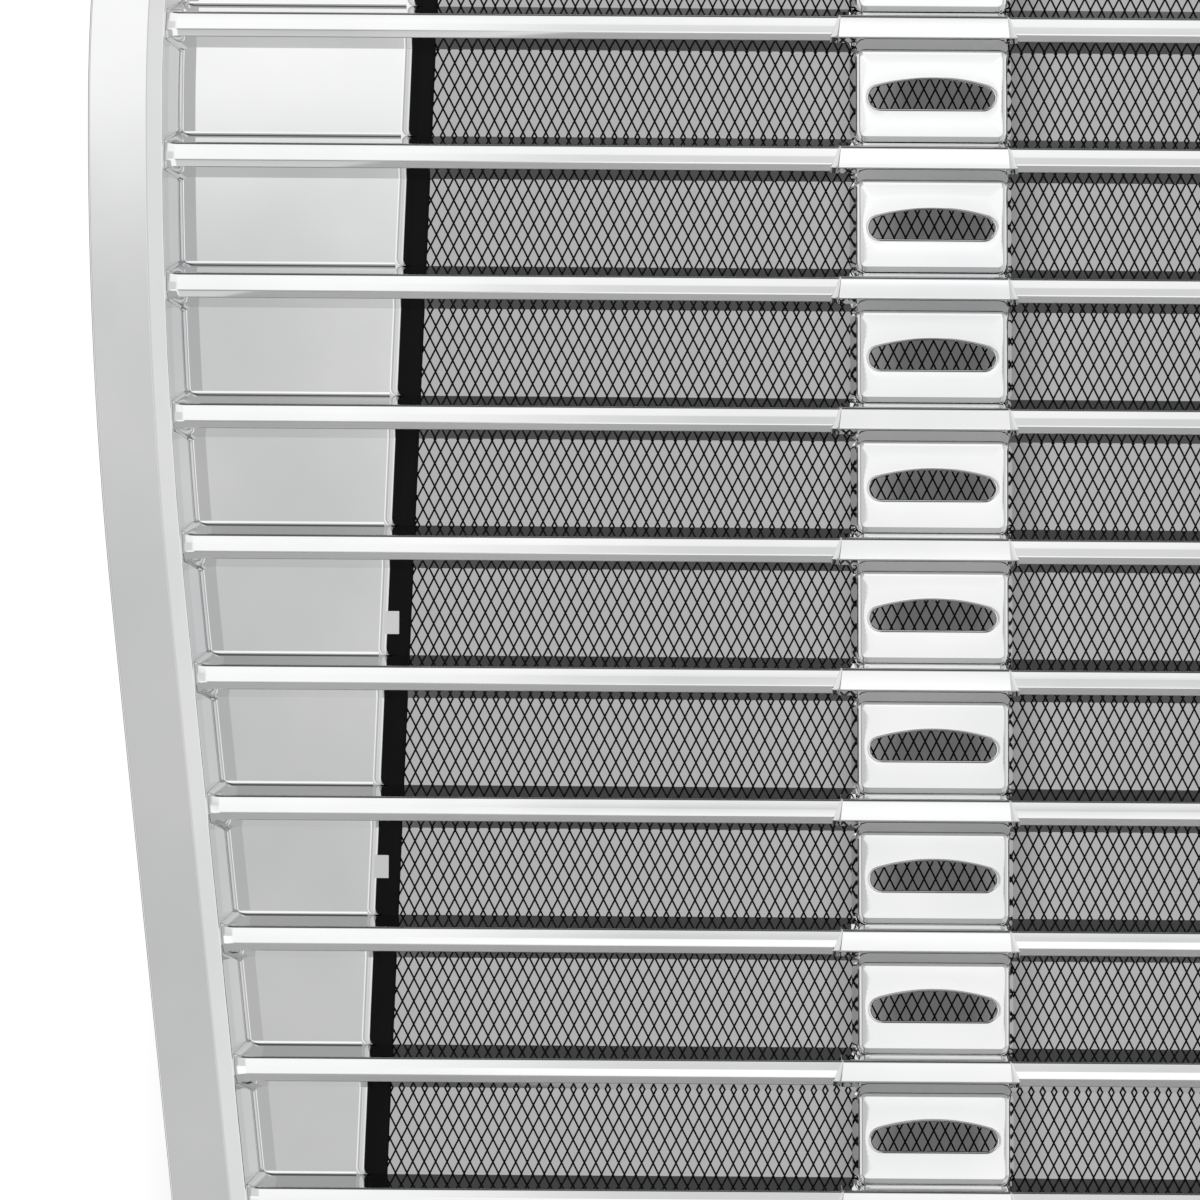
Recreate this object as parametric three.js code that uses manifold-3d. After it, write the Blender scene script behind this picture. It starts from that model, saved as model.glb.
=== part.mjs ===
// Front grille of a heavy truck: a chrome surround, hollow horizontal bars, two rows of
// clip-on column covers with an air slot each, recessed side panels, and a bug screen of
// expanded metal with folded edge strips and spring clips behind them.
// Millimetres. X runs across the truck, Y from the front (-) to the back (+), Z up.
// The origin is the middle of the flat mounting pad behind the top rail.
import * as THREE from "three";
import { mergeVertices } from "three/addons/utils/BufferGeometryUtils.js";
import Module from "manifold-3d";

const wasm = await Module();
wasm.setup();

// Driving dimensions
const GAP = 0.3; // clearance between neighbouring pieces
const ROWS = 11; // air windows from top to bottom
const PITCH = 68; // from one bar to the next
const BAR_HEIGHT = 22.4; // of a bar at its open back
const FRONT = -62; // front of the surround
const BAR_WALL = 2.2; // thickness of a bar at its open back
const BAR_BACK = -23.2; // open back of the bars and column covers
const PLATE_FRONT = -45; // face of a column cover
const COLLAR_FRONT = -57; // nose of the collar that caps a bar
const COLLAR_BACK = -44.4; // where it ends on top of the bar
const SIDE_PANEL_FRONT = -25.7;
const SIDE_PANEL_THICK = 2.5;

const TOP = 21; // top edge of the surround
const RAIL = 46.6; // width of the surround, from its outer edge to the foot of its inner wall
const OPEN_TOP = TOP - RAIL;
const OPEN_BOTTOM = OPEN_TOP - ROWS * PITCH + BAR_HEIGHT;
const BOTTOM = OPEN_BOTTOM - RAIL;
const HALF_WIDTH = 592; // at the widest place
const WIDEST_Z = -120;
const UPPER_SWEEP = 1000; // radius of the side above the widest place
const LOWER_SWEEP = 2500; // and below it
const TAPER = THREE.MathUtils.degToRad(6.16); // lean of the straight lower side
const TOP_CORNER = 60;
const BOTTOM_CORNER = 55;

const COLUMN_X = 153; // middle of a column at the first bar
const COVER_HALF = 39.6; // half width of a column cover's face
const COVER_FOOT_HALF = 42.4; // and across its side walls at the screen
const COLLAR_HALF = 44.3; // half width of a collar's face
const COLLAR_BEVEL = 4.6; // width of its bevelled ends
const COLLAR_SHIFT = 4.2; // how far a collar sits outboard of its cover
const COLUMN_LEAN = 0.0096; // how far a column leans inwards for each mm down
const PANEL_EDGE_X = 423.5; // inner edge of a side panel at the first bar
const PANEL_EDGE_LEAN = 0.036; // how far that edge leans outwards for each mm down
const STRIP_WIDTH = 14.5;
const STRIP_OVERLAP = 2.5; // how far the edge strip reaches behind the side panel
const SCREEN_FRONT = -21.8;
const SCREEN_THICK = 1;
const STRIP_THICK = 0.8;
const CROSS_STRIP_WIDTH = 12; // of the strips along the screen's top and bottom
const SCREEN_TUCK = 7.8; // how far the screen's side edge lies inside the panel's edge
const SCREEN_LAP = 9; // how far the screen reaches above and below the opening
const BEYOND = 1; // by how much a cut runs past what it cuts

const barZ = (bar) => OPEN_TOP - bar * PITCH + BAR_HEIGHT / 2;
const FIRST_BAR_Z = barZ(1);
const columnX = (z) => COLUMN_X + COLUMN_LEAN * (z - FIRST_BAR_Z);
const panelEdgeX = (z) => PANEL_EDGE_X - PANEL_EDGE_LEAN * (z - FIRST_BAR_Z);

// Materials
const chrome = new THREE.MeshStandardMaterial({ color: 0xd9dcdf, metalness: 1, roughness: 0.06 });
const blackSteel = new THREE.MeshStandardMaterial({ color: 0x111213, metalness: 0.4, roughness: 0.45 });
const zinc = new THREE.MeshStandardMaterial({ color: 0xc4c6c4, metalness: 0.9, roughness: 0.35 });

// Joins and cuts
function solid(geometry) {
  const bare = geometry.clone().deleteAttribute("normal").deleteAttribute("uv");
  const merged = mergeVertices(bare, 1e-4);
  const vertProperties = new Float32Array(merged.attributes.position.array);
  const triVerts = new Uint32Array(merged.index.array);
  return new wasm.Manifold(new wasm.Mesh({ numProp: 3, vertProperties, triVerts }));
}

function geometryOf(manifold) {
  const mesh = manifold.getMesh();
  const geometry = new THREE.BufferGeometry();
  geometry.setAttribute("position", new THREE.BufferAttribute(mesh.vertProperties, 3));
  geometry.setIndex(new THREE.BufferAttribute(mesh.triVerts, 1));
  return geometry;
}

function extrudeOutline(points, depth) {
  const outline = points.map(([u, v]) => new THREE.Vector2(u, v));
  if (THREE.ShapeUtils.area(outline) < 0) outline.reverse();
  return new THREE.ExtrudeGeometry(new THREE.Shape(outline), { depth, bevelEnabled: false });
}

const ALONG_X = new THREE.Matrix4().set(0, 0, 1, 0, 1, 0, 0, 0, 0, 1, 0, 0, 0, 0, 0, 1);
const ALONG_Y = new THREE.Matrix4().set(1, 0, 0, 0, 0, 0, -1, 0, 0, 1, 0, 0, 0, 0, 0, 1);

// A prism along X from an outline of [y, z] points
function prismX(points, x0, x1) {
  return solid(extrudeOutline(points, x1 - x0).applyMatrix4(ALONG_X).translate(x0, 0, 0));
}

// A prism along Y from an outline of [x, z] points
function prismY(points, y0, y1) {
  return solid(extrudeOutline(points, y1 - y0).applyMatrix4(ALONG_Y).translate(0, y1, 0));
}

// A prism along Z from an outline of [x, y] points
function prismZ(points, z0, z1) {
  return solid(extrudeOutline(points, z1 - z0).translate(0, 0, z0));
}

function rectangle(u0, u1, v0, v1) {
  return [[u0, v0], [u1, v0], [u1, v1], [u0, v1]];
}

function roundPost(x, z, radius, y0, y1) {
  const post = new THREE.CylinderGeometry(radius, radius, y1 - y0, 16);
  return solid(post.translate(x, (y0 + y1) / 2, z));
}

const MIRROR = new THREE.Matrix4().makeScale(-1, 1, 1);

// The surround's outline at a distance inside its outer edge, as [x, z] points.
// Every stretch is an arc described by the direction that its edge faces.
function surroundOutline(inset, cornerSteps = 5, sweepSteps = 4) {
  const upperTurn = Math.asin((TOP - TOP_CORNER - WIDEST_Z) / (UPPER_SWEEP - TOP_CORNER));
  const upperArm = UPPER_SWEEP - TOP_CORNER;
  const topCorner = {
    x: HALF_WIDTH - UPPER_SWEEP + upperArm * Math.cos(upperTurn),
    z: TOP - TOP_CORNER,
    radius: TOP_CORNER,
    from: Math.PI / 2,
    to: upperTurn,
    steps: cornerSteps,
  };
  const upperSide = {
    x: HALF_WIDTH - UPPER_SWEEP,
    z: WIDEST_Z,
    radius: UPPER_SWEEP,
    from: upperTurn,
    to: 0,
    steps: 2,
  };
  const lowerSide = { ...upperSide, x: HALF_WIDTH - LOWER_SWEEP, radius: LOWER_SWEEP };
  lowerSide.from = 0;
  lowerSide.to = -TAPER;
  lowerSide.steps = sweepSteps;
  const sideEndX = lowerSide.x + LOWER_SWEEP * Math.cos(TAPER);
  const sideEndZ = WIDEST_Z - LOWER_SWEEP * Math.sin(TAPER);
  const cornerZ = BOTTOM + BOTTOM_CORNER;
  const cornerEdgeZ = cornerZ - BOTTOM_CORNER * Math.sin(TAPER);
  const cornerEdgeX = sideEndX - (sideEndZ - cornerEdgeZ) * Math.tan(TAPER);
  const bottomCorner = {
    x: cornerEdgeX - BOTTOM_CORNER * Math.cos(TAPER),
    z: cornerZ,
    radius: BOTTOM_CORNER,
    from: -TAPER,
    to: -Math.PI / 2,
    steps: cornerSteps,
  };
  const right = [];
  for (const arc of [topCorner, upperSide, lowerSide, bottomCorner]) {
    const first = arc === topCorner || arc === bottomCorner ? 0 : 1;
    for (let i = first; i <= arc.steps; i++) {
      const turn = arc.from + ((arc.to - arc.from) * i) / arc.steps;
      const reach = arc.radius - inset;
      right.push([arc.x + reach * Math.cos(turn), arc.z + reach * Math.sin(turn)]);
    }
  }
  const left = right.map(([x, z]) => [-x, z]).reverse();
  return [...right, ...left];
}

// Skins a run of rings that all have the same number of [x, y, z] points. A looped run
// closes on itself like a tyre; any other run is closed by flat ends.
function skin(rings, looped) {
  const count = rings[0].length;
  const triangles = [];
  const last = looped ? rings.length : rings.length - 1;
  for (let r = 0; r < last; r++) {
    const a = r * count;
    const b = ((r + 1) % rings.length) * count;
    for (let i = 0; i < count; i++) {
      const j = (i + 1) % count;
      triangles.push(a + i, a + j, b + j, a + i, b + j, b + i);
    }
  }
  if (!looped) {
    const flat = rings[0].map(([x, , z]) => new THREE.Vector2(x, z));
    const end = (rings.length - 1) * count;
    for (const [i, j, k] of THREE.ShapeUtils.triangulateShape(flat, [])) {
      triangles.push(i, j, k, end + k, end + j, end + i);
    }
  }
  const geometry = new THREE.BufferGeometry();
  geometry.setAttribute("position", new THREE.Float32BufferAttribute(rings.flat(2), 3));
  geometry.setIndex(facingOut(rings.flat(), triangles));
  return geometry;
}

// Turns every triangle round if the skin would otherwise face inwards
function facingOut(points, triangles) {
  const [a, b, c] = [new THREE.Vector3(), new THREE.Vector3(), new THREE.Vector3()];
  let volume = 0;
  for (let i = 0; i < triangles.length; i += 3) {
    a.fromArray(points[triangles[i]]);
    b.fromArray(points[triangles[i + 1]]);
    c.fromArray(points[triangles[i + 2]]);
    volume += a.dot(b.cross(c)) / 6;
  }
  return volume > 0 ? triangles : triangles.reverse();
}

// Where the surround's inner wall stands at a given depth
const WALL_TOP = [38.7, -57]; // inset and depth of the wall's front edge
const WALL_FOOT = [RAIL, -26]; // and of its back edge
function wallInset(y) {
  const share = (y - WALL_TOP[1]) / (WALL_FOOT[1] - WALL_TOP[1]);
  return WALL_TOP[0] + share * (WALL_FOOT[0] - WALL_TOP[0]);
}

// The space inside the surround, less the clearance: what fits inside is cut to it.
function insideSurround() {
  const ring = (y) => surroundOutline(wallInset(y) + GAP).map(([x, z]) => [x, y, z]);
  return solid(skin([ring(FRONT), ring(0)], false));
}

// Mounting bosses behind the rails: places of the studs, and the plain pad at the origin
const STUD_HOLE = 3.4; // its radius
const STUD_HOLE_DEPTH = 15;
const BOSS_RADIUS = 10;
const RIB_HALF = [24, 1.5]; // half length and half thickness of a boss's rib
const RIB_BACK = -6;
const PAD_HALF = [20, 11]; // half width and half height of the plain pad
const STUD_PLACES = [
  [-460, 0],
  [-230, 0],
  [230, 0],
  [460, 0],
  [-230, BOTTOM + TOP],
  [230, BOTTOM + TOP],
];
const STUD_NAMES = ["top_1", "top_2", "top_3", "top_4", "bottom_1", "bottom_2"];

// A thin shell swept round the outline: outer wall with a return lip, flat front band,
// bevel and drafted inner wall, as [inset, y] points.
function surroundFrame() {
  const wall = 3;
  const lip = 6.5;
  const section = [
    [0, 0],
    [0, FRONT + 1.5],
    [1.5, FRONT],
    [30.4, FRONT],
    WALL_TOP,
    WALL_FOOT,
    [WALL_FOOT[0] - 3.2, WALL_FOOT[1]],
    [WALL_TOP[0] - 2.8, WALL_TOP[1] + 2.4],
    [29.6, FRONT + wall],
    [wall, FRONT + wall],
    [wall, -wall],
    [lip, -wall],
    [lip, 0],
  ];
  const rings = section.map(([inset, y]) => surroundOutline(inset).map(([x, z]) => [x, y, z]));
  let frame = solid(skin(rings, true));
  const inBand = FRONT + wall / 2;
  const [padX, padZ] = PAD_HALF;
  const [ribX, ribZ] = RIB_HALF;
  frame = frame.add(prismY(rectangle(-padX, padX, -padZ, padZ), inBand, 0));
  for (const [x, z] of STUD_PLACES) {
    const rib = rectangle(x - ribX, x + ribX, z - ribZ, z + ribZ);
    frame = frame.add(roundPost(x, z, BOSS_RADIUS, inBand, 0)).add(prismY(rib, inBand, RIB_BACK));
  }
  for (const [x, z] of STUD_PLACES) {
    frame = frame.subtract(roundPost(x, z, STUD_HOLE, -STUD_HOLE_DEPTH, BEYOND));
  }
  return frame;
}

// A bar's outer outline as [y, z] points about its middle, grown by a clearance.
// The face is creased: a tall upper plane and a short lower one.
function barOutline(grow = 0) {
  const half = BAR_HEIGHT / 2;
  return [
    [BAR_BACK, half + grow],
    [-51, 6.2 + grow],
    [-52.9 - grow * 0.7, 5.5 + grow * 0.7],
    [-54 - grow, 4 + grow * 0.3],
    [-54.8 - grow, -3.2],
    [-53.9 - grow, -5.6 - grow * 0.3],
    [-52.4 - grow * 0.7, -6.9 - grow * 0.7],
    [-50, -7.3 - grow],
    [BAR_BACK, -half - grow],
  ];
}

function barHollow() {
  const half = BAR_HEIGHT / 2 - BAR_WALL;
  return [
    [BAR_BACK + BEYOND, half],
    [-49.6, 4.3],
    [-51.8, 2.8],
    [-52.5, -2.4],
    [-51.4, -4.6],
    [BAR_BACK + BEYOND, -half],
  ];
}

function bar(inside, panelRoom) {
  const outer = prismX(barOutline(), -HALF_WIDTH, HALF_WIDTH);
  const hollow = prismX(barHollow(), -HALF_WIDTH - BEYOND, HALF_WIDTH + BEYOND);
  return (number) => outer
    .subtract(hollow)
    .translate([0, 0, barZ(number)])
    .intersect(inside)
    .subtract(panelRoom);
}

// The slot in a column cover: flat below, arched above, with rounded ends
const SLOT_HALF = 32.8;
const SLOT_SILL = -41.6; // below the bar's middle
const SLOT_END = 5.8; // radius of its ends
const SLOT_TALL = 15.3;
function slotOutline() {
  const end = SLOT_END;
  const shoulder = end + end * Math.sin(Math.PI / 3);
  const shape = new THREE.Shape();
  shape.moveTo(-SLOT_HALF + end, 0);
  shape.lineTo(SLOT_HALF - end, 0);
  shape.absarc(SLOT_HALF - end, end, end, -Math.PI / 2, Math.PI / 3, false);
  shape.quadraticCurveTo(0, 2 * SLOT_TALL - shoulder, -SLOT_HALF + end / 2, shoulder);
  shape.absarc(-SLOT_HALF + end, end, end, (Math.PI * 2) / 3, (Math.PI * 3) / 2, false);
  return shape.getPoints(4).map((p) => [p.x, SLOT_SILL + p.y]);
}

// A column cover is one thin shell: a collar that caps the bar above it, the slotted plate
// below, a lip that ends on the next bar, and two side walls that reach back to the screen.
const COVER_WALL = 2.2;
const LIP = [-42.2, -PITCH + 8.3]; // depth and height of the lip's free edge
const PLATE_FOOT = -PITCH + 12.3; // where the plate turns back into the lip
const PLATE_TOP = -13.3; // and where it turns forwards into the collar
const HOLLOW_TOP = -12.2; // top of the space behind the plate
const AHEAD = PLATE_FRONT - 15; // a depth in front of the whole cover

function columnCover() {
  const back = BAR_BACK - GAP;
  const side = [
    [COLLAR_BACK, 8.5],
    [-55.6, 6.1],
    [COLLAR_FRONT, 4.6],
    [COLLAR_FRONT, -4.9],
    [-56.2, -6.1],
    [-46, -12.2],
    [PLATE_FRONT, PLATE_TOP],
    [PLATE_FRONT, PLATE_FOOT],
    LIP,
    [back, LIP[1]],
    [back, 0],
    [COLLAR_BACK, 0],
  ];
  const end = COLLAR_HALF + COLLAR_BEVEL;
  const behindCollar = COLLAR_BACK + 4;
  const collarEnds = [
    [-end, COLLAR_FRONT + 4],
    [-COLLAR_HALF, COLLAR_FRONT - BEYOND],
    [COLLAR_HALF, COLLAR_FRONT - BEYOND],
    [end, COLLAR_FRONT + 4],
    [end, behindCollar],
    [-end, behindCollar],
  ].map(([x, y]) => [x - COLLAR_SHIFT, y]);
  const plan = (inset) => [
    [-COVER_HALF + inset, AHEAD],
    [COVER_HALF - inset, AHEAD],
    [COVER_FOOT_HALF - inset, BAR_BACK + BEYOND],
    [-COVER_FOOT_HALF + inset, BAR_BACK + BEYOND],
  ];
  const body = prismX(side, -end - COLLAR_SHIFT, end);
  const collar = body.intersect(prismZ(collarEnds, -9.6, 10));
  const plate = body.intersect(prismZ(plan(0), -PITCH, -8));
  const room = [
    [PLATE_FRONT + COVER_WALL, HOLLOW_TOP],
    [PLATE_FRONT + COVER_WALL, PLATE_FOOT + 0.4],
    [LIP[0] + COVER_WALL, LIP[1] + 0.7],
    [LIP[0] + COVER_WALL, -PITCH - BEYOND],
    [BAR_BACK + BEYOND, -PITCH - BEYOND],
    [BAR_BACK + BEYOND, HOLLOW_TOP],
  ];
  const hollow = prismX(room, -end, end).intersect(prismZ(plan(COVER_WALL), -PITCH - 2, 0));
  const half = BAR_HEIGHT / 2 + GAP;
  const behindBar = [[0, -half], [0, half]];
  const ownBar = prismX([...barOutline(GAP), ...behindBar], -end - 10, end + 10);
  const nextBar = ownBar.translate([0, 0, -PITCH]);
  const slot = prismY(slotOutline(), COLLAR_FRONT, PLATE_FRONT + 10);
  return collar.add(plate).subtract(hollow).subtract(ownBar).subtract(nextBar).subtract(slot);
}

// The first row has no bar above it: its cover is a plain plate under the top rail.
const FIRST_PLATE_TOP = -14.5;
const SHELF_TOP = -8;
function topCover(cover) {
  const wide = COLLAR_HALF * 2;
  const below = prismY(rectangle(-wide, wide, -PITCH - 5, FIRST_PLATE_TOP), FRONT, 0);
  const shelf = rectangle(PLATE_FRONT, PLATE_FRONT + 5, FIRST_PLATE_TOP - GAP, SHELF_TOP);
  return cover.intersect(below).add(prismX(shelf, -COVER_HALF + 1, COVER_HALF - 1));
}

// Leans a cover with the left column and puts it in its row
function placeCover(cover, row, inside) {
  const z = barZ(row - 1);
  const lean = new THREE.Matrix4();
  lean.elements[8] = -COLUMN_LEAN;
  const leaning = geometryOf(cover).applyMatrix4(lean).translate(-columnX(z), 0, z);
  return solid(leaning).intersect(inside);
}

// Side panel: one plate behind the surround's wall, open behind each bar's hollow
const TAB_ROWS = [1.85, 3.85, 5.42, 7.3, 9.85]; // tabs that hold the edge strip, in pitches
const TAB_HALF = 6;
const TAB_THICK = 1.4;
const TAB_TIP = -18.4; // how far back it reaches
const TAB_INSET = 5; // of its middle from the panel's edge
const PANEL_SEAT = RAIL - 3.6; // inset of the panel's outer edge, behind the surround's wall
const tabZ = (place) => OPEN_TOP - place * PITCH;
const tabX = (z) => -panelEdgeX(z) + TAB_INSET;

function sidePanelOutline(z0, z1, grow) {
  const foot = surroundOutline(PANEL_SEAT - grow).filter(([x, z]) => x < 0 && z < z1 && z > z0);
  const above = leftWallX(z1, PANEL_SEAT - grow);
  const below = leftWallX(z0, PANEL_SEAT - grow);
  return [
    [-panelEdgeX(z0) + grow, z0],
    [below, z0],
    ...foot,
    [above, z1],
    [-panelEdgeX(z1) + grow, z1],
  ];
}

// X of the left inner wall at a height, for a given inset
function leftWallX(z, inset) {
  const outline = surroundOutline(inset).filter(([x]) => x < 0);
  for (let i = 1; i < outline.length; i++) {
    const [x0, z0] = outline[i - 1];
    const [x1, z1] = outline[i];
    if (z0 <= z && z <= z1 && z1 > z0) return x0 + ((x1 - x0) * (z - z0)) / (z1 - z0);
  }
  return outline[0][0];
}

const PANEL_TOP = OPEN_TOP + 1;
const PANEL_BOTTOM = OPEN_BOTTOM - 1;

function sidePanel() {
  const back = SIDE_PANEL_FRONT + SIDE_PANEL_THICK;
  let panel = prismY(sidePanelOutline(PANEL_BOTTOM, PANEL_TOP, 0), SIDE_PANEL_FRONT, back);
  for (let number = 1; number < ROWS; number++) {
    const z = barZ(number);
    const half = BAR_HEIGHT / 2 - BAR_WALL;
    const outer = leftWallX(z, RAIL + 3);
    const inner = -panelEdgeX(z) - 5;
    const slit = rectangle(outer, inner, z - half, z + half);
    panel = panel.subtract(prismY(slit, SIDE_PANEL_FRONT - BEYOND, back + BEYOND));
  }
  for (const place of TAB_ROWS) {
    const z = tabZ(place);
    const x = tabX(z);
    const half = TAB_THICK / 2;
    const foot = rectangle(-panelEdgeX(z) - 3, x + half, z - TAB_HALF, z + TAB_HALF);
    const tab = rectangle(x - half, x + half, z - TAB_HALF, z + TAB_HALF);
    panel = panel.add(prismY(foot, SIDE_PANEL_FRONT, back)).add(prismY(tab, back - 1, TAB_TIP));
  }
  return panel;
}

// Black steel strip folded over the side edge of the screen
const SCREEN_TOP = OPEN_TOP + SCREEN_LAP;
const SCREEN_BOTTOM = OPEN_BOTTOM - SCREEN_LAP;
const STRIP_FRONT = BAR_BACK + GAP;
const STRIP_BACK = SCREEN_FRONT + SCREEN_THICK + GAP + STRIP_THICK;

function leaningBand(from, to) {
  const at = (z, offset) => [-panelEdgeX(z) + offset, z];
  return [
    at(SCREEN_BOTTOM, from),
    at(SCREEN_BOTTOM, to),
    at(SCREEN_TOP, to),
    at(SCREEN_TOP, from),
  ];
}

function sideStrip() {
  const inner = STRIP_WIDTH - STRIP_OVERLAP;
  const fold = prismY(leaningBand(-STRIP_OVERLAP, inner), STRIP_FRONT, STRIP_BACK);
  const mouth = prismY(
    leaningBand(-STRIP_OVERLAP + STRIP_THICK, inner + BEYOND),
    STRIP_FRONT + STRIP_THICK,
    STRIP_BACK - STRIP_THICK,
  );
  let strip = fold.subtract(mouth);
  for (const place of TAB_ROWS) {
    const z = tabZ(place);
    const wide = TAB_THICK / 2 + 0.4;
    const tall = TAB_HALF + 0.5;
    const slot = rectangle(tabX(z) - wide, tabX(z) + wide, z - tall, z + tall);
    strip = strip.subtract(prismY(slot, STRIP_FRONT - BEYOND, STRIP_BACK + BEYOND));
  }
  return strip;
}

// The bug screen is modelled as the sheet that its strands fill.
function screen() {
  const at = (z) => -panelEdgeX(z) + SCREEN_TUCK;
  const low = SCREEN_BOTTOM + STRIP_THICK + 1;
  const high = SCREEN_TOP - STRIP_THICK - 1;
  const outline = [
    [at(low), low],
    [-at(low), low],
    [-at(high), high],
    [at(high), high],
  ];
  return prismY(outline, SCREEN_FRONT, SCREEN_FRONT + SCREEN_THICK);
}

// The same fold along the top and bottom edges, between the side strips
function crossStrip(edgeZ, inwards) {
  const reach = (z) => panelEdgeX(z) - (STRIP_WIDTH - STRIP_OVERLAP) - 0.6;
  const deep = edgeZ + inwards * CROSS_STRIP_WIDTH;
  const band = (from, to) => [
    [-reach(from), from],
    [reach(from), from],
    [reach(to), to],
    [-reach(to), to],
  ];
  const fold = prismY(band(edgeZ, deep), STRIP_FRONT, STRIP_BACK);
  const mouth = prismY(
    rectangle(-HALF_WIDTH, HALF_WIDTH, edgeZ + inwards * STRIP_THICK, deep + inwards),
    STRIP_FRONT + STRIP_THICK,
    STRIP_BACK - STRIP_THICK,
  );
  return fold.subtract(mouth);
}

// Spring clip behind the screen at a column: a bent strip whose foot lies on the screen
const CLIP_BARS = [1, 4, 8];
function springClip(x, z) {
  const y = SCREEN_FRONT + SCREEN_THICK + GAP;
  const profile = [
    [y, -9],
    [y, 2],
    [y + 3.4, 4.4],
    [y, 7],
    [y, 11],
    [y + 0.9, 11],
    [y + 0.9, 7.4],
    [y + 5, 4.4],
    [y + 0.9, 1.4],
    [y + 0.9, -9],
  ];
  return prismX(profile, -6.5, 6.5).translate([x, 0, z]);
}

// Stud that stands out of a mounting boss
function mountingStud(x, z) {
  const half = [
    [0, -14],
    [2.6, -14],
    [3, -13.4],
    [3, 15.2],
    [2.2, 16],
    [0, 16],
  ];
  const lathe = new THREE.LatheGeometry(half.map(([r, h]) => new THREE.Vector2(r, h)), 14);
  return solid(lathe.translate(x, 0, z));
}

// Assembly
const grille = new THREE.Group();

function addPiece(name, manifold, material) {
  const mesh = new THREE.Mesh(geometryOf(manifold), material);
  mesh.name = name;
  grille.add(mesh);
}

function mirrored(manifold) {
  return manifold.mirror([1, 0, 0]);
}

const twoDigits = (number) => String(number).padStart(2, "0");
const inside = insideSurround();
const panelRoomLeft = prismY(
  sidePanelOutline(PANEL_BOTTOM - GAP, PANEL_TOP + GAP, GAP),
  SIDE_PANEL_FRONT - GAP,
  0,
);
const panelRoom = panelRoomLeft.add(mirrored(panelRoomLeft));

addPiece("surround_frame", surroundFrame(), chrome);

const makeBar = bar(inside, panelRoom);
for (let number = 1; number < ROWS; number++) {
  addPiece("bar_" + twoDigits(number), makeBar(number), chrome);
}

const cover = columnCover();
const firstCover = topCover(cover);
for (let row = 1; row <= ROWS; row++) {
  const piece = placeCover(row === 1 ? firstCover : cover, row, inside);
  addPiece("column_cover_left_" + twoDigits(row), piece, chrome);
  addPiece("column_cover_right_" + twoDigits(row), mirrored(piece), chrome);
}

const panel = sidePanel();
addPiece("side_panel_left", panel, chrome);
addPiece("side_panel_right", mirrored(panel), chrome);

addPiece("bug_screen", screen(), blackSteel);
const strip = sideStrip();
addPiece("screen_strip_left", strip, blackSteel);
addPiece("screen_strip_right", mirrored(strip), blackSteel);
addPiece("screen_strip_top", crossStrip(SCREEN_TOP, -1), blackSteel);
addPiece("screen_strip_bottom", crossStrip(SCREEN_BOTTOM, 1), blackSteel);

for (const [side, sign] of [["left", -1], ["right", 1]]) {
  CLIP_BARS.forEach((number, i) => {
    const z = barZ(number) + BAR_HEIGHT / 2;
    addPiece("spring_clip_" + side + "_" + (i + 1), springClip(sign * columnX(z), z), zinc);
  });
}

STUD_PLACES.forEach(([x, z], i) => {
  addPiece("mounting_stud_" + STUD_NAMES[i], mountingStud(x, z), zinc);
});

export default grille;
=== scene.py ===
import math

import bmesh
import bpy
import numpy as np
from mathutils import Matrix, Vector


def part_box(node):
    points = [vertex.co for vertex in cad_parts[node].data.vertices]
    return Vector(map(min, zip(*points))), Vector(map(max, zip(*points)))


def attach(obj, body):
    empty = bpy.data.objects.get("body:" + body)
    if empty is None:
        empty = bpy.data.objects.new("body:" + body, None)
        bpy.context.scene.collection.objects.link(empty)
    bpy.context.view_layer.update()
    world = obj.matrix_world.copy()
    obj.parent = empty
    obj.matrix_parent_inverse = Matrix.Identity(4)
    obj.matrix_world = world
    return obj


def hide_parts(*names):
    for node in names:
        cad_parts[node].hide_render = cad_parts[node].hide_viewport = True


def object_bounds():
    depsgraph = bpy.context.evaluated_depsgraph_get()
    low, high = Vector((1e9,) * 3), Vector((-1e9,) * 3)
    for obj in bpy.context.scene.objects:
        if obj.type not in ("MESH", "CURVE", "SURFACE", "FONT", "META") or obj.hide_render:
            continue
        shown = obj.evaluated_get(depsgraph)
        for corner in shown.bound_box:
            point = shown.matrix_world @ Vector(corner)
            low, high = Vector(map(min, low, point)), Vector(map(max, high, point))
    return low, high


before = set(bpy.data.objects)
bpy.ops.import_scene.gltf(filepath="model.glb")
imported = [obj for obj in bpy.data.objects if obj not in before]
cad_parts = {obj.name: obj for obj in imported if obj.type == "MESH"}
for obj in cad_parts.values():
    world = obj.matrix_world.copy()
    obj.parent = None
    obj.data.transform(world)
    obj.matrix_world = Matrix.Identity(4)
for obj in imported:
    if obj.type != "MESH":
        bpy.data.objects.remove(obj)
CAD_LOW, CAD_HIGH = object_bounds()

MM = 0.001
LOW, HIGH = 0, 1
X, Y, Z = 0, 1, 2


def edge_of(node, corner, axis):
    """A side of a CAD node's box, in millimetres."""
    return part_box(node)[corner][axis] / MM


# Driving dimensions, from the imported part
ROWS = 11
BARS = range(1, ROWS)
TOP = edge_of("surround_frame", HIGH, Z)
BOTTOM = edge_of("surround_frame", LOW, Z)
HALF_WIDTH = edge_of("surround_frame", HIGH, X)
FRONT = edge_of("surround_frame", LOW, Y)
BAR_BACK = edge_of("bar_01", HIGH, Y)
BAR_HALF = (edge_of("bar_01", HIGH, Z) - edge_of("bar_01", LOW, Z)) / 2
FIRST_BAR_Z = edge_of("bar_01", HIGH, Z) - BAR_HALF
PITCH = (FIRST_BAR_Z - edge_of("bar_10", HIGH, Z) + BAR_HALF) / (ROWS - 2)
OPEN_TOP = FIRST_BAR_Z + PITCH - BAR_HALF
OPEN_BOTTOM = OPEN_TOP - ROWS * PITCH + 2 * BAR_HALF
RAIL = TOP - OPEN_TOP
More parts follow.
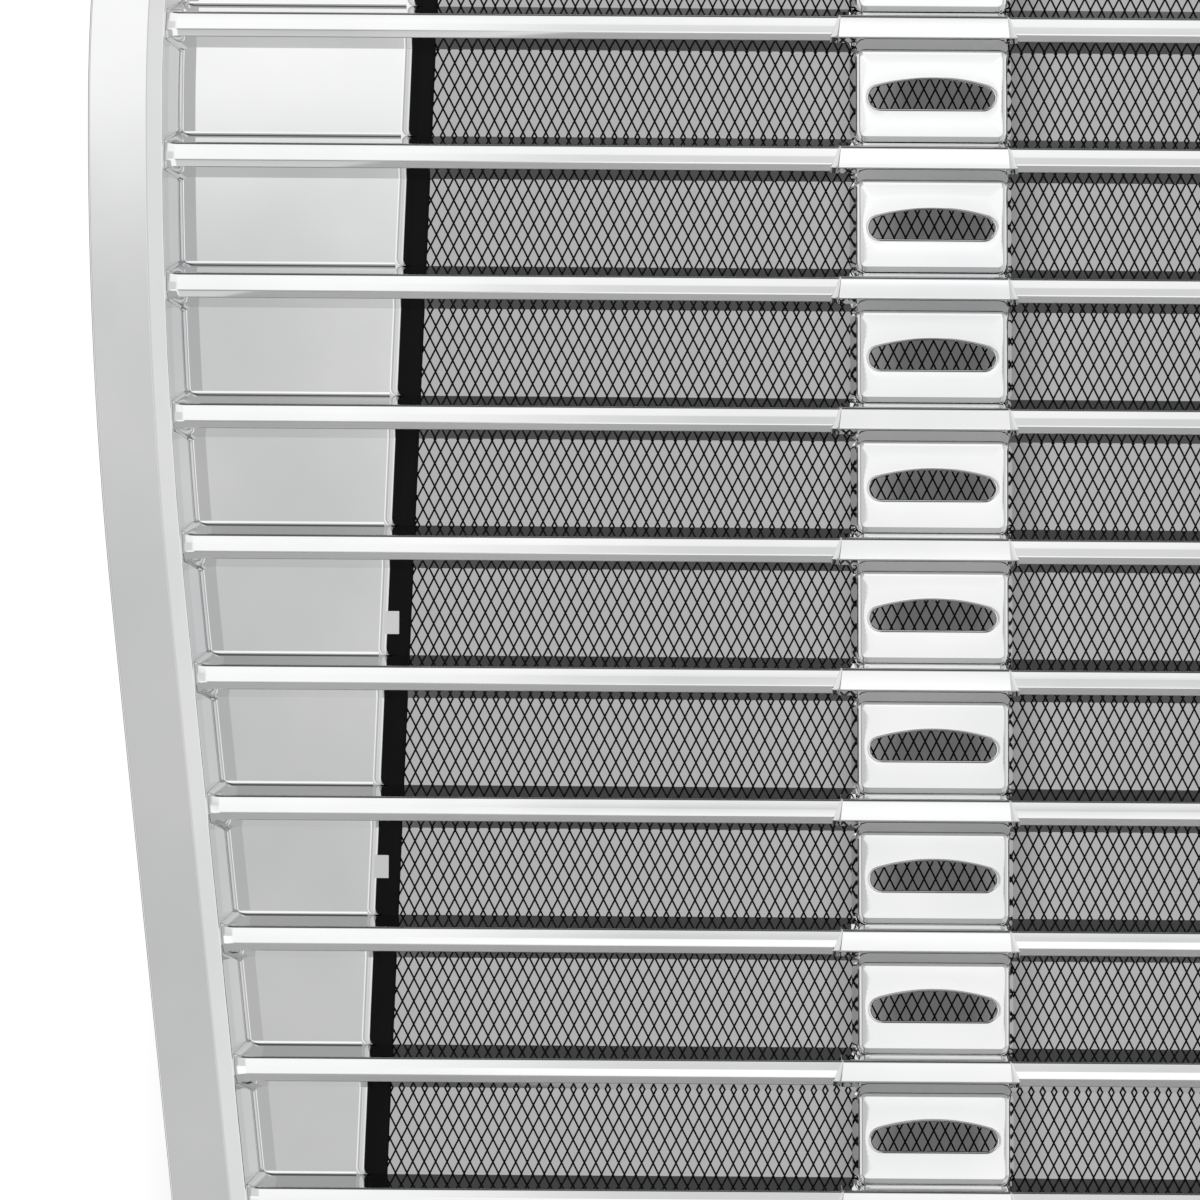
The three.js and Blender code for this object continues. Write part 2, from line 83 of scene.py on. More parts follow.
PANEL_FRONT = edge_of("side_panel_left", LOW, Y)
SCREEN_FRONT = edge_of("bug_screen", LOW, Y)
SCREEN_BACK = edge_of("bug_screen", HIGH, Y)
SCREEN_TOP = edge_of("screen_strip_left", HIGH, Z)
SCREEN_BOTTOM = edge_of("screen_strip_left", LOW, Z)
STRIP_FRONT = edge_of("screen_strip_left", LOW, Y)
STRIP_BACK = edge_of("screen_strip_left", HIGH, Y)

# The rest repeats the part's own driving dimensions
WIDEST_Z = -120
UPPER_SWEEP = 1000
LOWER_SWEEP = 2500
TAPER = math.radians(6.16)
TOP_CORNER = 60
BOTTOM_CORNER = 55
COLUMN_X = 153
COLUMN_LEAN = 0.0096
PANEL_EDGE_X = 423.5
PANEL_EDGE_LEAN = 0.036
STRIP_WIDTH = 14.5
STRIP_OVERLAP = 2.5
PLATE_FRONT = -45
COVER_WALL = 2.2
COVER_HALF = 39.6
COLLAR_FRONT = -57
COLLAR_HALF = 44.3
COLLAR_BEVEL = 4.6
COLLAR_SHIFT = 4.2
WALL_TOP = (38.7, -57)
WALL_FOOT = (RAIL, -26)
BAR_WALL = 2.2
TAB_ROWS = (1.85, 3.85, 5.42, 7.3, 9.85)
TAB_HALF = 6
TAB_THICK = 1.4
TAB_TIP = -18.4
TAB_INSET = 5


def bar_z(bar):
    return OPEN_TOP - bar * PITCH + BAR_HALF


def column_x(z):
    return COLUMN_X + COLUMN_LEAN * (z - FIRST_BAR_Z)


def panel_edge_x(z):
    return PANEL_EDGE_X - PANEL_EDGE_LEAN * (z - FIRST_BAR_Z)


# ---------------------------------------------------------------- outlines and skins
def rounded(corners, closed=True, steps=5):
    """An outline whose corners, each (u, v, radius), are turned into arcs."""
    points = []
    for i, (u, v, radius) in enumerate(corners):
        at = np.array([u, v], float)
        if radius == 0 or (not closed and i in (0, len(corners) - 1)):
            points.append(at)
            continue
        before = np.array(corners[i - 1][:2], float) - at
        after = np.array(corners[(i + 1) % len(corners)][:2], float) - at
        before /= np.linalg.norm(before)
        after /= np.linalg.norm(after)
        half = math.acos(np.clip(before @ after, -1, 1)) / 2
        middle = (before + after) / np.linalg.norm(before + after)
        centre = at + middle * radius / math.sin(half)
        start = at + before * radius / math.tan(half) - centre
        end = at + after * radius / math.tan(half) - centre
        sweep = math.pi - 2 * half
        for k in range(steps + 1):
            share = k / steps
            blend = math.sin((1 - share) * sweep) * start + math.sin(share * sweep) * end
            points.append(centre + blend / math.sin(sweep))
    return np.array(points)


def surround_half(inset):
    """The right half of the surround's outline, from the top to the bottom, as [x, z] points."""
    arm = UPPER_SWEEP - TOP_CORNER
    upper_turn = math.asin((TOP - TOP_CORNER - WIDEST_Z) / arm)
    top_x = HALF_WIDTH - UPPER_SWEEP + arm * math.cos(upper_turn)
    lower_x = HALF_WIDTH - LOWER_SWEEP
    side_end_x = lower_x + LOWER_SWEEP * math.cos(TAPER)
    side_end_z = WIDEST_Z - LOWER_SWEEP * math.sin(TAPER)
    corner_z = BOTTOM + BOTTOM_CORNER
    corner_edge_z = corner_z - BOTTOM_CORNER * math.sin(TAPER)
    corner_edge_x = side_end_x - (side_end_z - corner_edge_z) * math.tan(TAPER)
    bottom_x = corner_edge_x - BOTTOM_CORNER * math.cos(TAPER)
    quarter = math.pi / 2
    arcs = [
        (top_x, TOP - TOP_CORNER, TOP_CORNER, quarter, upper_turn, 20),
        (HALF_WIDTH - UPPER_SWEEP, WIDEST_Z, UPPER_SWEEP, upper_turn, 0, 8),
        (lower_x, WIDEST_Z, LOWER_SWEEP, 0, -TAPER, 20),
        (bottom_x, corner_z, BOTTOM_CORNER, -TAPER, -quarter, 20),
    ]
    points = []
    for number, (x, z, radius, first, last, steps) in enumerate(arcs):
        for k in range(1 if number in (1, 2) else 0, steps + 1):
            turn = first + (last - first) * k / steps
            reach = radius - inset
            points.append((x + reach * math.cos(turn), z + reach * math.sin(turn)))
    return np.array(points)


def surround_outline(inset):
    right = surround_half(inset)
    return np.vstack([right, (right * (-1, 1))[::-1]])


def wall_inset(y):
    """How far inside the outline the surround's inner wall is at a depth."""
    share = (y - WALL_TOP[1]) / (WALL_FOOT[1] - WALL_TOP[1])
    return WALL_TOP[0] + share * (WALL_FOOT[0] - WALL_TOP[0])


def wall_x(z, inset):
    """X of the right side of the outline at a height."""
    half = surround_half(inset)[::-1]
    return float(np.interp(z, half[:, 1], half[:, 0]))


class Skin:
    """Points and faces of one piece, in millimetres."""

    def __init__(self):
        self.points = []
        self.faces = []

    def add(self, points, faces):
        first = len(self.points)
        self.points.extend([tuple(p) for p in points])
        self.faces.extend([tuple(first + i for i in face) for face in faces])

    def rings(self, rings, looped=False, capped=True):
        """Skins rings of equally many points; a looped run closes on itself like a tyre."""
        count = len(rings[0])
        faces = []
        last = len(rings) if looped else len(rings) - 1
        for r in range(last):
            a = r * count
            b = (r + 1) % len(rings) * count
            for i in range(count):
                j = (i + 1) % count
                faces.append((a + i, a + j, b + j, b + i))
        if not looped and capped:
            faces.append(tuple(range(count)))
            faces.append(tuple(range((len(rings) - 1) * count, len(rings) * count)))
        self.add([p for ring in rings for p in ring], faces)

    def hollow(self, stations, split):
        """Skins stations of an open channel: each ring is an outer line of split points, then
        the inner line backwards. The ends are closed by the channel's own thickness."""
        self.rings(stations, capped=False)
        count = len(stations[0])
        first = len(self.points) - len(stations) * count
        for start in (first, first + (len(stations) - 1) * count):
            for i in range(split - 1):
                j = count - 1 - i
                self.faces.append((start + i, start + i + 1, start + j - 1, start + j))

    def mirrored(self):
        other = Skin()
        other.add([(-x, y, z) for x, y, z in self.points], self.faces)
        return other


def make_piece(name, skin, nodes, material, smooth=True):
    """A finished Blender piece that stands for CAD nodes and rides on the part."""
    mesh = bpy.data.meshes.new(name)
    mesh.from_pydata((np.array(skin.points) * MM).tolist(), [], skin.faces)
    shell = bmesh.new()
    shell.from_mesh(mesh)
    bmesh.ops.recalc_face_normals(shell, faces=shell.faces)
    shell.to_mesh(mesh)
    shell.free()
    for face in mesh.polygons:
        face.use_smooth = smooth
    piece = bpy.data.objects.new(name, mesh)
    bpy.context.scene.collection.objects.link(piece)
    mesh.materials.append(material)
    if smooth:
        mesh.set_sharp_from_angle(angle=math.radians(50))
        flats = piece.modifiers.new("Flats", "WEIGHTED_NORMAL")
        flats.keep_sharp = True
    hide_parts(*nodes)
    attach(piece, "root")
    return piece


# ---------------------------------------------------------------- materials
def new_material(name):
    material = bpy.data.materials.new(name)
    material.use_nodes = True
    nodes = material.node_tree.nodes
    return material, nodes, material.node_tree.links, nodes["Principled BSDF"]


def noise_at(nodes, links, scale, detail=3.0, stretch=(1, 1, 1), turn=0.0):
    """Noise in the object's own space. Scale is in waves for each metre."""
    place = nodes.new("ShaderNodeTexCoord")
    mapping = nodes.new("ShaderNodeMapping")
    mapping.inputs["Scale"].default_value = stretch
    mapping.inputs["Rotation"].default_value = (0, turn, 0)
    noise = nodes.new("ShaderNodeTexNoise")
    noise.inputs["Scale"].default_value = scale
    noise.inputs["Detail"].default_value = detail
    links.new(place.outputs["Object"], mapping.inputs["Vector"])
    links.new(mapping.outputs["Vector"], noise.inputs["Vector"])
    return noise.outputs["Fac"]


def ranged(nodes, links, value, from_low, from_high, to_low, to_high):
    spread = nodes.new("ShaderNodeMapRange")
    spread.inputs["From Min"].default_value = from_low
    spread.inputs["From Max"].default_value = from_high
    spread.inputs["To Min"].default_value = to_low
    spread.inputs["To Max"].default_value = to_high
    links.new(value, spread.inputs["Value"])
    return spread.outputs["Result"]


def toned(nodes, links, value, first, second):
    """A colour that runs between two stops, each (position, colour)."""
    tone = nodes.new("ShaderNodeValToRGB")
    for element, (position, colour) in zip(tone.color_ramp.elements, (first, second)):
        element.position = position
        element.color = (*colour, 1)
    links.new(value, tone.inputs["Fac"])
    return tone.outputs["Color"]


def bumped(nodes, links, height, depth_mm, strength, under=None):
    bump = nodes.new("ShaderNodeBump")
    bump.inputs["Strength"].default_value = strength
    bump.inputs["Distance"].default_value = depth_mm * MM
    links.new(height, bump.inputs["Height"])
    if under is not None:
        links.new(under, bump.inputs["Normal"])
    return bump.outputs["Normal"]


def chrome(name, shine, wave_mm, rubbed=False):
    """Chrome plate on moulded plastic: mirror bright, with the slight waviness of the
    moulding under it, faint haze, and rub marks on surfaces that face backwards."""
    material, nodes, links, shader = new_material(name)
    shader.inputs["Metallic"].default_value = 1.0
    haze = noise_at(nodes, links, 9, 4)
    tone = toned(nodes, links, haze, (0.3, (0.80, 0.805, 0.81)), (0.75, (0.90, 0.90, 0.90)))
    links.new(tone, shader.inputs["Base Color"])
    rough = ranged(nodes, links, haze, 0.3, 0.8, shine, shine * 1.8)
    wave = noise_at(nodes, links, 14, 1.0)
    normal = bumped(nodes, links, wave, wave_mm, 1.0)
    if rubbed:
        marks = noise_at(nodes, links, 60, 5.0, (1, 1, 16), math.radians(35))
        scratch = ranged(nodes, links, marks, 0.60, 0.68, 0.0, 1.0)
        facing = nodes.new("ShaderNodeNewGeometry")
        axes = nodes.new("ShaderNodeSeparateXYZ")
        links.new(facing.outputs["Normal"], axes.inputs["Vector"])
        behind = ranged(nodes, links, axes.outputs["Y"], 0.6, 0.9, 0.0, 1.0)
        both = nodes.new("ShaderNodeMath")
        both.operation = "MULTIPLY"
        links.new(scratch, both.inputs[0])
        links.new(behind, both.inputs[1])
        extra = nodes.new("ShaderNodeMath")
        extra.operation = "MULTIPLY_ADD"
        extra.inputs[1].default_value = 0.14
        links.new(both.outputs["Value"], extra.inputs[0])
        links.new(rough, extra.inputs[2])
        rough = extra.outputs["Value"]
        normal = bumped(nodes, links, both.outputs["Value"], 0.012, 0.5, normal)
    links.new(rough, shader.inputs["Roughness"])
    links.new(normal, shader.inputs["Normal"])
    return material


def black_coat(name, gloss, grain_per_m):
    """Black coating on steel, with the fine pebble of a sprayed coat and rubbed patches."""
    material, nodes, links, shader = new_material(name)
    patches = noise_at(nodes, links, 30, 4)
    tone = toned(nodes, links, patches, (0.35, (0.0012, 0.0012, 0.0013)), (0.8, (0.005, 0.005, 0.0053)))
    links.new(tone, shader.inputs["Base Color"])
    links.new(ranged(nodes, links, patches, 0.3, 0.8, gloss, gloss + 0.16), shader.inputs["Roughness"])
    shader.inputs["Specular IOR Level"].default_value = 0.1
    grain = noise_at(nodes, links, grain_per_m, 2)
    links.new(bumped(nodes, links, grain, 0.05, 0.35), shader.inputs["Normal"])
    return material


def plated_steel(name):
    """Bright zinc on steel, brushed along its length and slightly mottled."""
    material, nodes, links, shader = new_material(name)
    shader.inputs["Metallic"].default_value = 1.0
    mottle = noise_at(nodes, links, 180, 5)
    tone = toned(nodes, links, mottle, (0.3, (0.52, 0.53, 0.52)), (0.7, (0.78, 0.78, 0.76)))
    links.new(tone, shader.inputs["Base Color"])
    links.new(ranged(nodes, links, mottle, 0.3, 0.7, 0.24, 0.42), shader.inputs["Roughness"])
    brushed = noise_at(nodes, links, 400, 3, (1, 1, 0.08))
    links.new(bumped(nodes, links, brushed, 0.02, 0.4), shader.inputs["Normal"])
    return material


SURROUND_CHROME = chrome("surround_chrome", 0.035, 0.05, rubbed=True)
BAR_CHROME = chrome("bar_chrome", 0.04, 0.02)
COVER_CHROME = chrome("cover_chrome", 0.035, 0.02)
PANEL_CHROME = chrome("panel_chrome", 0.04, 0.03, rubbed=True)
SCREEN_BLACK = black_coat("black_mesh", 0.34, 2500)
STRIP_BLACK = black_coat("black_strip", 0.14, 1800)
SPRING_STEEL = plated_steel("spring_steel")
STUD_ZINC = plated_steel("zinc_stud")


# ---------------------------------------------------------------- surround
BOSS_PLACES = [(x, z) for z, xs in ((0, (-460, -230, 230, 460)), (BOTTOM + TOP, (-230, 230))) for x in xs]
BAND = 30.4  # width of the surround's flat face
IN_BAND = FRONT + 1.5  # behind the band's face, where the bosses grow from
SHELL = 3  # thickness of the surround's moulding
RIM = 6.5  # width of its outer wall's foot
BOSS_RADIUS = 10
BOSS_BORE = 3.4
BOSS_BORE_END = -15
BLOCK_EDGE = 0.6  # radius of a block's back corners


def rounded_block(skin, x0, x1, y0, y1, z0, z1, radius):
    """A block whose long edges and back corners are softened."""
    section = [(x0, z0, radius), (x1, z0, radius), (x1, z1, radius), (x0, z1, radius)]
    full = rounded(section, steps=3)
    middle = np.array([(x0 + x1) / 2, (z0 + z1) / 2])
    size = np.array([x1 - x0, z1 - z0])
    small = middle + (full - middle) * (1 - 2 * BLOCK_EDGE / size)
    rings = [(full, y0), (full, y1 - BLOCK_EDGE), (small * 0.3 + full * 0.7, y1 - 0.2), (small, y1)]
    skin.rings([[(x, y, z) for x, z in flat] for flat, y in rings])


def surround():
    section = rounded(
        [
            (0, 0, 1),
            (0, FRONT, 1.2),
            (BAND, FRONT, 2.0),
            (*WALL_TOP, 2.6),
            (*WALL_FOOT, 0.6),
            (WALL_FOOT[0] - 3.2, WALL_FOOT[1], 0.6),
            (WALL_TOP[0] - 2.8, WALL_TOP[1] + 2.4, 2),
            (29.6, FRONT + SHELL, 1),
            (SHELL, FRONT + SHELL, 1),
            (SHELL, -SHELL, 0.4),
            (RIM, -SHELL, 0.8),
            (RIM, 0, 0.8),
        ]
    )
    skin = Skin()
    skin.rings([[(x, y, z) for x, z in surround_outline(inset)] for inset, y in section], looped=True)
    rounded_block(skin, -20, 20, IN_BAND, 0, -11, 11, 2.5)
    around = [math.tau * k / 32 for k in range(32)]
    boss = rounded(
        [
            (BOSS_RADIUS + 0.9, IN_BAND, 0),
            (BOSS_RADIUS, 0, 0.8),
            (BOSS_BORE, 0, 0.5),
            (BOSS_BORE, BOSS_BORE_END, 0),
        ],
        closed=False,
        steps=3,
    )
    for x, z in BOSS_PLACES:
        skin.rings([[(x + r * math.cos(t), y, z + r * math.sin(t)) for t in around] for r, y in boss])
        rounded_block(skin, x - 24, x + 24, IN_BAND, -6, z - 1.5, z + 1.5, 0.6)
        rounded_block(skin, x - 1.5, x + 1.5, IN_BAND, -9, z - 15, z + 15, 0.6)
    make_piece("surround_shell", skin, ["surround_frame"], SURROUND_CHROME)


# ---------------------------------------------------------------- bars
FLARE_LONG = 7.6  # length of the flare where a bar meets the surround's wall
FLARE_TALL = 5.5  # and its half height, as the axes of an ellipse
FLARE_SHARE = 0.86  # how much of the ellipse's length is there
FLARE_DEEP = 0.7  # how far its nose would come forward at the full ellipse
FLARE_STEPS = 12
END_GAP = 0.1  # between a bar's end and the wall
AT_PLATE = PANEL_FRONT - 0.05  # how far back a bar reaches beside a side panel


def bar_section(back_y):
    """Outer line then inner line, as (y, z) about the bar's middle."""
    outer = rounded(
        [
            (back_y, BAR_HALF, 0),
            (-53.85, 5.75, 1.5),
            (-54.45, 0.9, 30),
            (-54.8, -3.2, 1.6),
            (-52.9, -6.95, 0.9),
            (back_y, -BAR_HALF, 0),
        ],
        closed=False,
    )
    inner = rounded(
        [
            (back_y, BAR_HALF - BAR_WALL, 0),
            (-51.6, 4.0, 1.0),
            (-52.15, 0.5, 20),
            (-52.5, -2.4, 1.4),
            (-51.3, -4.8, 0.6),
            (back_y, -BAR_HALF + BAR_WALL, 0),
        ],
        closed=False,
    )
    return outer, inner


def flared(middle, off_wall, y, z):
    """Where a point of the section comes to lie in the flare, at a distance from the wall."""
    flare = 1 - math.sqrt(1 - (FLARE_SHARE - off_wall / FLARE_LONG) ** 2)
    z *= 1 + flare * FLARE_TALL / BAR_HALF
    y -= flare * FLARE_DEEP * float(np.interp(y, [-54.9, -44], [1, 0]))
    return wall_x(middle + z, wall_inset(y)) - END_GAP - off_wall, y, middle + z


def bar(number):
    middle = bar_z(number)
    outer, inner = bar_section(AT_PLATE)
    beside_panel = [*outer, *inner[::-1]]
    stations = []
    for step in range(FLARE_STEPS + 1):
        off_wall = FLARE_LONG * FLARE_SHARE * (step / FLARE_STEPS) ** 1.4
        stations.append([flared(middle, off_wall, y, z) for y, z in beside_panel])
    panel_edge = panel_edge_x(middle)
    for x, back_y in ((panel_edge + 0.15, AT_PLATE), (panel_edge - 0.15, BAR_BACK)):
        outer, inner = bar_section(back_y)
        stations.append([(x, y, middle + z) for y, z in [*outer, *inner[::-1]]])
    left = [[(-x, y, z) for x, y, z in ring] for ring in stations]
    skin = Skin()
    skin.hollow(left + stations[::-1], len(outer))
    name = f"bar_{number:02d}"
    make_piece(name + "_chrome", skin, [name], BAR_CHROME)


# ---------------------------------------------------------------- column covers
SLOT_HALF = 32.8
SLOT_SILL = -41.6
SLOT_END = 5.8
SLOT_TALL = 15.3
SLOT_ROLL = 1.7  # radius of the rolled edge round the slot
PLATE_BACK = PLATE_FRONT + COVER_WALL
COVER_BACK = -23.6  # where a cover's side walls and lip end


def slot_line(count=400):
    """The slot's edge as many close points, from its left end round by the bottom."""
    low = [-math.pi / 2 + math.pi * 5 / 6 * k / 60 for k in range(61)]
    centre = SLOT_HALF - SLOT_END
    right = [(centre + SLOT_END * math.cos(t), SLOT_END + SLOT_END * math.sin(t)) for t in low]
    shoulder = right[-1]
    crown = 2 * SLOT_TALL - shoulder[1]
    arch = []
    for k in range(1, 60):
        s = k / 60
        x = (1 - s) ** 2 * shoulder[0] - s**2 * shoulder[0]
        z = (1 - s) ** 2 * shoulder[1] + 2 * s * (1 - s) * crown + s**2 * shoulder[1]
        arch.append((x, z))
    left = [(-x, z) for x, z in right[::-1]]
    line = np.array(right + arch + left)
    line[:, 1] += SLOT_SILL
    start = int(np.argmin(line[:, 0]))
    line = np.roll(line, -start, axis=0)
    return resample(line, np.arange(count) / count)


def resample(line, shares):
    """Points of a closed line at shares of its length."""
    closed = np.vstack([line, line[:1]])
    run = np.concatenate([[0], np.cumsum(np.linalg.norm(np.diff(closed, axis=0), axis=1))])
    run /= run[-1]
    return np.column_stack([np.interp(shares, run, closed[:, k]) for k in (0, 1)])


# How the plate's edge turns at its sides, at its lip and at the brow under a bar, from the front
# round to the back: (outwards, depth)
SIDE_EDGE = [
    (0, PLATE_FRONT),
    (1.0, -44.8),
    (1.9, -44.2),
    (2.45, -43.3),
    (2.6, -42.3),
    (2.8, -40.5),
    (3.5, -35),
    (5.3, COVER_BACK),
    (3.9, COVER_BACK),
    (2.0, -35),
    (1.1, -41.4),
    (0.2, PLATE_BACK),
]
LIP_EDGE = [
    (0, PLATE_FRONT),
    (0.2, -44.95),
    (0.45, -44.82),
    (2.1, -44.1),
    (3.6, -43.4),
    (3.85, -42.9),
    (3.6, -41.6),
    (0.6, COVER_BACK),
    (-0.9, COVER_BACK),
    (2.4, -40.5),
    (1.4, -42.0),
    (-0.3, PLATE_BACK),
]
BROW_EDGE = [
    (0, PLATE_FRONT),
    (1.1, -45.15),
    (2.1, -45.7),
    (3.0, -46.8),
    (5.3, -51),
    (7.5, -55.7),
    (6.4, -53.2),
    (2.1, COVER_BACK),
    (0.9, COVER_BACK),
    (4.0, -45.6),
    (1.6, -43.7),
    (0, PLATE_BACK),
]


# The plate's own outline, as heights from the middle of the bar above it
PLATE_TOP = -13.6
FIRST_PLATE_TOP = -9.5  # in the top row, which has no bar above
PLATE_FOOT = -PITCH + 12.1
PLATE_CORNER = 2.2
PLATE_HALF = COVER_HALF - SIDE_EDGE[4][0]
POINT_GAP = 3  # rough distance between neighbouring points of the outline
NEARBY = 0.002  # share of the slot's edge over which its direction is taken


def plate_border(top):
    """The plate's rounded outline as close points, and where each is matched on the slot's edge,
    as a share of that edge's length."""
    sides = (-PLATE_HALF, PLATE_HALF)
    corners = [(x, PLATE_FOOT, PLATE_CORNER) for x in sides] + [(x, top, PLATE_CORNER) for x in sides[::-1]]
    border = rounded(corners)
    first = int(np.argmin(np.abs(border[:, 1] - PLATE_FOOT - PLATE_CORNER) + border[:, 0]))
    border = np.roll(border, -first, axis=0)
    ring = []
    for a, b in zip(border, np.roll(border, -1, axis=0)):
        pieces = max(1, round(float(np.linalg.norm(b - a)) / POINT_GAP))
        ring.extend(a + (b - a) * k / pieces for k in range(pieces))
    ring = np.array(ring)
    closed = np.vstack([ring, ring[:1]])
    run = np.concatenate([[0], np.cumsum(np.linalg.norm(np.diff(closed, axis=0), axis=1))])
    half_side = (top - PLATE_FOOT) / 2 / run[-1]
    return ring, (run[:-1] / run[-1] - (1 - half_side)) % 1


def slot_edge(shares):
    """Points of the slot's edge, and the direction away from the slot at each of them."""
    dense = slot_line()
    along = resample(dense, (shares + NEARBY) % 1) - resample(dense, (shares - NEARBY) % 1)
    along /= np.linalg.norm(along, axis=1)[:, None]
    return resample(dense, shares), np.column_stack([along[:, 1], -along[:, 0]])


def cover_shell(first_row):
    """The slotted plate with its rolled edges, side walls and lip, about its bar's middle."""
    top = FIRST_PLATE_TOP if first_row else PLATE_TOP
    ring, shares = plate_border(top)
    slot, away = slot_edge(shares)
    low_corner = [-PLATE_HALF + PLATE_CORNER, PLATE_FOOT + PLATE_CORNER]
    high_corner = [PLATE_HALF - PLATE_CORNER, top - PLATE_CORNER]
    out = ring - np.clip(ring, low_corner, high_corner)
    out /= np.linalg.norm(out, axis=1)[:, None]
    sideways = out[:, 0] ** 2
    upwards = np.where(out[:, 1] > 0, out[:, 1] ** 2, 0)
    downwards = np.where(out[:, 1] < 0, out[:, 1] ** 2, 0)
    brow = SIDE_EDGE if first_row else BROW_EDGE

    def flat_ring(points, y):
        return [(x, y, z) for x, z in points]

    rings = [flat_ring(slot, PLATE_BACK)]
    for k in range(6):
        turn = math.pi / 2 * k / 5
        grow = SLOT_ROLL * (1 - math.cos(turn))
        rings.append(flat_ring(slot + away * grow, PLATE_FRONT + SLOT_ROLL * (1 - math.sin(turn))))
    rings.append(flat_ring((slot + away * SLOT_ROLL) * 0.5 + ring * 0.5, PLATE_FRONT))
    for side, lip, over in zip(SIDE_EDGE, LIP_EDGE, brow):
        grow = sideways * side[0] + downwards * lip[0] + upwards * over[0]
        depth = sideways * side[1] + downwards * lip[1] + upwards * over[1]
        spread = ring + out * grow[:, None]
        rings.append([(x, y, z) for (x, z), y in zip(spread, depth)])
    skin = Skin()
    skin.rings(rings, looped=True)
    return skin


def collar_shell():
    """The cap over the bar: a C-shaped band with bevelled ends."""
    back, foot = -44.4, -51.5
    outer = rounded(
        [(back, 8.55, 0), (COLLAR_FRONT + 0.4, 6.1, 2.0), (COLLAR_FRONT, -5.3, 1.2), (foot, -7.95, 0)],
        closed=False,
    )
    inner = rounded([(back, 7.85, 0), (-54.9, 5.85, 1.2), (-55.2, -4.9, 0.9), (foot, -7.45, 0)], closed=False)
    near = inner + np.where(np.abs(inner[:, :1] - back) < 0.1, [0, 0.3], [-0.3, 0.0])
    near[:, 1] += np.where(inner[:, 1] < -6, -0.2, 0.15)
    split = len(outer)
    stations = []
    for share in (0, 0.06, 0.16, 0.32, 0.5, 0.68, 0.84, 0.94, 1):
        bulk = 1 - share**1.7
        line = near + (outer - near) * bulk
        stations.append((COLLAR_BEVEL * share, np.vstack([line, inner[::-1]])))

    def end_at(reach, z):
        """The bevel is broad at the bottom and narrow at the top."""
        slant = float(np.interp(z, [-5.5, 5.5], [1, 0.25]))
        return COLLAR_HALF - 1.2 * (1 - slant) + reach * slant

    left = [[(-end_at(reach, z), y, z) for y, z in ring] for reach, ring in stations[::-1]]
    right = [[(end_at(reach, z), y, z) for y, z in ring] for reach, ring in stations]
    skin = Skin()
    skin.hollow(left + right, split)
    skin.points = [(x - COLLAR_SHIFT, y, z) for x, y, z in skin.points]
    return skin


def column_covers():
    plate = cover_shell(False)
    first_plate = cover_shell(True)
    collar = collar_shell()
    for row in range(1, ROWS + 1):
        middle = bar_z(row - 1)
        shape = Skin()
        if row == 1:
            shape.add(first_plate.points, first_plate.faces)
        else:
            shape.add(plate.points, plate.faces)
            shape.add(collar.points, collar.faces)
        centre = -column_x(middle)
        shape.points = [(centre + x - COLUMN_LEAN * z, y, z + middle) for x, y, z in shape.points]
        for side, skin in (("left", shape), ("right", shape.mirrored())):
            node = f"column_cover_{side}_{row:02d}"
            make_piece(f"cover_{side}_{row:02d}_chrome", skin, [node], COVER_CHROME)


# ---------------------------------------------------------------- side panels
PANEL_BACK = BAR_BACK
PANEL_ROLL = 4.6  # width of the panel's rolled inner edge
CORNER = 3.8  # radius of the web at its lower inner corner
PANEL_FILLET = 6.5  # radius of the fillet at a panel's border
FILLET_TURN = math.radians(16)  # and how far round it goes
COVE_WIDE = 6.2  # width of the cove beside the surround
COVE_RISE = COVE_WIDE * math.tan(math.radians(8))


def corner_web(z, foot):
    """How far the panel's inner edge curves out over the bar below it."""
    rise = z - foot
    if not 0 < rise < CORNER:
        return 0
    return CORNER - math.sqrt(CORNER**2 - (CORNER - rise) ** 2)


def panel_plate(skin, z0, z1, x_outer, x_inner, roll, foot=None):
    """A plate between two heights, with its inner edge rolled back. x_outer and x_inner give its
    left and right edge at a height."""
    foot = z0 + 0.1 if foot is None else foot
    heights = [z0, foot - 0.01] + [foot + 0.05 + CORNER * k / 8 for k in range(9)] + [z1]
    rings = []
    levels = [(0, PANEL_BACK)]
    for k in range(7):
        turn = math.pi / 2 * k / 6
        deep = min(roll, PANEL_BACK - PANEL_FRONT - 0.2)
        levels.append((roll * (1 - math.cos(turn)), PANEL_FRONT + deep * (1 - math.sin(turn))))
    for back_off, y in levels:
        left = [(x_outer(z), y, z) for z in heights]
        right = [(x_inner(z) - back_off, y, z) for z in heights[::-1]]
        rings.append(left + right)
    skin.rings(rings)


def side_panels():
    skin = Skin()
    outer = RAIL - 3.6
    for row in range(1, ROWS + 1):
        z1 = bar_z(row - 1) - BAR_HALF + BAR_WALL if row > 1 else OPEN_TOP + 1
        z0 = bar_z(row) + BAR_HALF - BAR_WALL if row < ROWS else OPEN_BOTTOM - 1
        foot = bar_z(row) + BAR_HALF if row < ROWS else OPEN_BOTTOM
        panel_plate(
            skin,
            z0,
            z1,
            lambda z: -wall_x(z, outer),
            lambda z: -panel_edge_x(z) + corner_web(z, foot),
            PANEL_ROLL,
            foot,
        )
        panel_fillet(skin, row)
    for number in BARS:
        z0 = bar_z(number) - BAR_HALF + BAR_WALL
        z1 = bar_z(number) + BAR_HALF - BAR_WALL
        panel_plate(skin, z0, z1, lambda z: -wall_x(z, outer), lambda z: -wall_x(z, RAIL + 3), 0.3)
        panel_plate(skin, z0, z1, lambda z: -panel_edge_x(z) - 5, lambda z: -panel_edge_x(z), 0.3)
    for place in TAB_ROWS:
        edge_strip_tab(skin, place)
    for row in (3, 6, 9):
        ejector_mark(skin, row)
    for side, shape in (("left", skin), ("right", skin.mirrored())):
        node = "side_panel_" + side
        make_piece(node + "_chrome", shape, [node], PANEL_CHROME)


